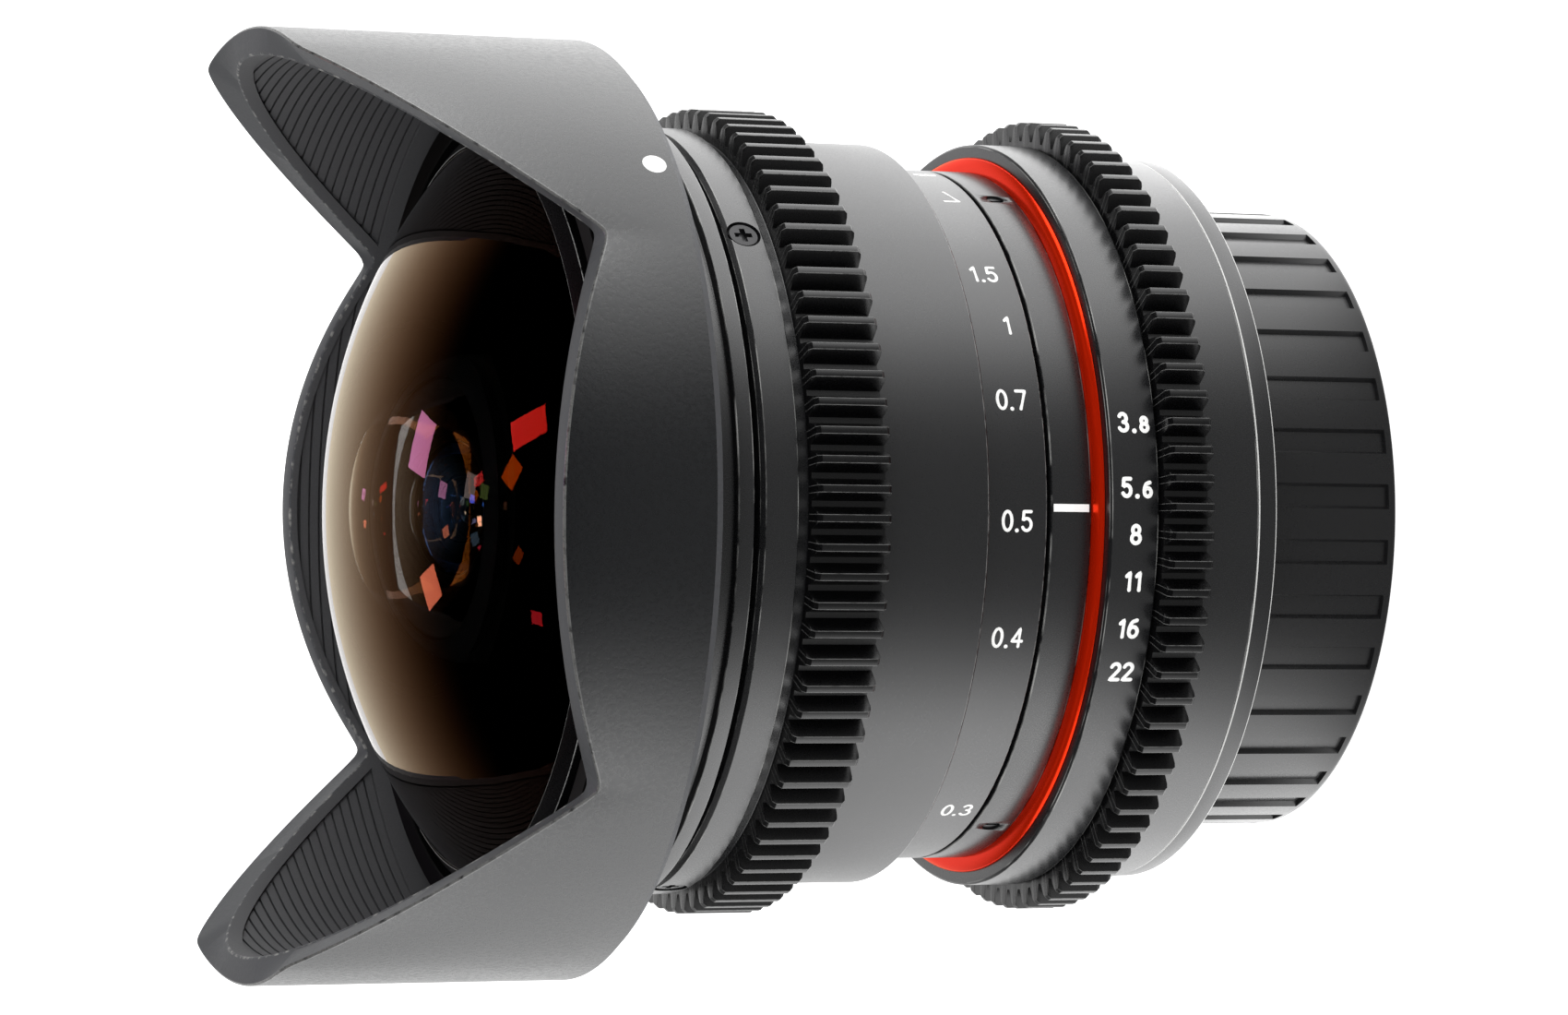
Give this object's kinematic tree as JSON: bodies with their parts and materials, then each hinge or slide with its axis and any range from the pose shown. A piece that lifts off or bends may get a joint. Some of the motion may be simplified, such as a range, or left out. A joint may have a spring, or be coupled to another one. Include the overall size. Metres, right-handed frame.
{
  "type": "fisheye lens",
  "caption": "Manual cine fisheye lens with domed front glass, removable petal hood, geared focus and aperture rings, and a ribbed rear cap.",
  "frame": {"origin": "centre of the rear cap's rear face; the lens stands upright on its cap", "axes": "+Z is the optical axis towards the front glass; -Y is the side with the index line; +X is 90 degrees from it, on the side of one long petal"},
  "size_m": [0.0862, 0.0862, 0.1011],
  "materials": {
    "black_anodised": "satin black anodised",
    "grip_anodised": "matte black anodised, fine grain",
    "hood_black": "matte black blasted and anodised",
    "red_anodised": "red anodised",
    "mount_metal": "satin chrome plate",
    "steel": "turned steel",
    "black_steel": "black oxide",
    "blade_steel": "blackened spring steel",
    "brass": "turned brass",
    "cap_plastic": "moulded black plastic",
    "front_glass": "coated optical glass",
    "glass": "coated optical glass"
  },
  "bodies": {
    "root": {"mount_flange": "mount_metal", "mount_screws": "steel", "rear_ring": "black_anodised", "rear_baffle": "black_anodised", "main_barrel": "black_anodised", "name_ring": "black_anodised", "name_ring_screws": "black_steel", "red_ring": "red_anodised", "focus_key": "steel", "focus_key_screws": "steel", "focus_stop_pin": "steel", "focus_retainer": "black_anodised"},
    "focus_ring": {"focus_ring": "grip_anodised", "focus_gear": "black_anodised", "focus_gear_screws": "black_steel", "helicoid_nut": "brass"},
    "aperture_ring": {"aperture_ring": "black_anodised", "aperture_lever": "steel", "aperture_lever_screws": "steel"},
    "lens_cell": {"lens_cell": "black_anodised", "front_bezel": "black_anodised", "hood_mount_ring": "black_anodised", "lens_1": "front_glass", "lens_2": "glass", "lens_3": "glass", "lens_4": "glass", "lens_5": "glass", "lens_6": "glass", "lens_7": "glass", "lens_8": "glass", "lens_9": "glass", "lens_10": "glass", "lens_2_retainer": "black_anodised", "front_spacer": "black_anodised", "doublet_retainer": "black_anodised", "iris_housing": "black_anodised", "iris_cover": "black_anodised", "rear_cell": "black_anodised", "lens_6_retainer": "black_anodised", "rear_spacer": "black_anodised", "rear_retainer": "black_anodised"},
    "iris_drive": {"iris_drive_ring": "black_anodised"},
    "iris_blade_1": {"iris_blade_1": "blade_steel"},
    "iris_blade_2": {"iris_blade_2": "blade_steel"},
    "iris_blade_3": {"iris_blade_3": "blade_steel"},
    "iris_blade_4": {"iris_blade_4": "blade_steel"},
    "iris_blade_5": {"iris_blade_5": "blade_steel"},
    "iris_blade_6": {"iris_blade_6": "blade_steel"},
    "hood": {"hood": "hood_black"},
    "rear_cap": {"rear_cap": "cap_plastic"}
  },
  "joints": [
    {"name": "focus_turn", "type": "hinge", "parent": "root", "child": "focus_ring", "pos_m": [0, 0, 0.05], "axis": [0, 0, 1], "range_deg": [-76.3, 57.7]},
    {"name": "focus_slide", "type": "slide", "parent": "root", "child": "lens_cell", "axis": [0, 0, 1], "range_m": [-0.000185, 0.00014]},
    {"name": "aperture_turn", "type": "hinge", "parent": "root", "child": "aperture_ring", "pos_m": [0, 0, 0.025], "axis": [0, 0, 1], "range_deg": [-12.65, 24.65]},
    {"name": "iris_drive_turn", "type": "hinge", "parent": "lens_cell", "child": "iris_drive", "pos_m": [0, 0, 0.0375], "axis": [0, 0, 1], "range_deg": [-12.7, 24.7]},
    {"name": "iris_blade_1_turn", "type": "hinge", "parent": "lens_cell", "child": "iris_blade_1", "pos_m": [0.00927, 0.00248, 0.0403], "axis": [0, 0, 1], "range_deg": [-6.12, 11.91]},
    {"name": "iris_blade_2_turn", "type": "hinge", "parent": "lens_cell", "child": "iris_blade_2", "pos_m": [0.00248, 0.00927, 0.0403], "axis": [0, 0, 1], "range_deg": [-6.12, 11.91]},
    {"name": "iris_blade_3_turn", "type": "hinge", "parent": "lens_cell", "child": "iris_blade_3", "pos_m": [-0.00679, 0.00679, 0.0403], "axis": [0, 0, 1], "range_deg": [-6.12, 11.91]},
    {"name": "iris_blade_4_turn", "type": "hinge", "parent": "lens_cell", "child": "iris_blade_4", "pos_m": [-0.00927, -0.00248, 0.0403], "axis": [0, 0, 1], "range_deg": [-6.12, 11.91]},
    {"name": "iris_blade_5_turn", "type": "hinge", "parent": "lens_cell", "child": "iris_blade_5", "pos_m": [-0.00248, -0.00927, 0.0403], "axis": [0, 0, 1], "range_deg": [-6.12, 11.91]},
    {"name": "iris_blade_6_turn", "type": "hinge", "parent": "lens_cell", "child": "iris_blade_6", "pos_m": [0.00679, -0.00679, 0.0403], "axis": [0, 0, 1], "range_deg": [-6.12, 11.91]},
    {"name": "hood_twist", "type": "hinge", "parent": "lens_cell", "child": "hood", "pos_m": [0, 0, 0.0727], "axis": [0, 0, 1], "range_deg": [-43, 0]},
    {"name": "cap_twist", "type": "hinge", "parent": "root", "child": "rear_cap", "pos_m": [0, 0, 0.0125], "axis": [0, 0, 1], "range_deg": [-60, 0]}
  ],
  "couplings": [
    {"joint": "focus_slide", "follows": "focus_turn", "m_per_rad": 0.000138},
    {"joint": "iris_drive_turn", "follows": "aperture_turn", "ratio": 1},
    {"joint": "iris_blade_1_turn", "follows": "aperture_turn", "ratio": 0.48247},
    {"joint": "iris_blade_2_turn", "follows": "aperture_turn", "ratio": 0.48247},
    {"joint": "iris_blade_3_turn", "follows": "aperture_turn", "ratio": 0.48247},
    {"joint": "iris_blade_4_turn", "follows": "aperture_turn", "ratio": 0.48247},
    {"joint": "iris_blade_5_turn", "follows": "aperture_turn", "ratio": 0.48247},
    {"joint": "iris_blade_6_turn", "follows": "aperture_turn", "ratio": 0.48247}
  ]
}
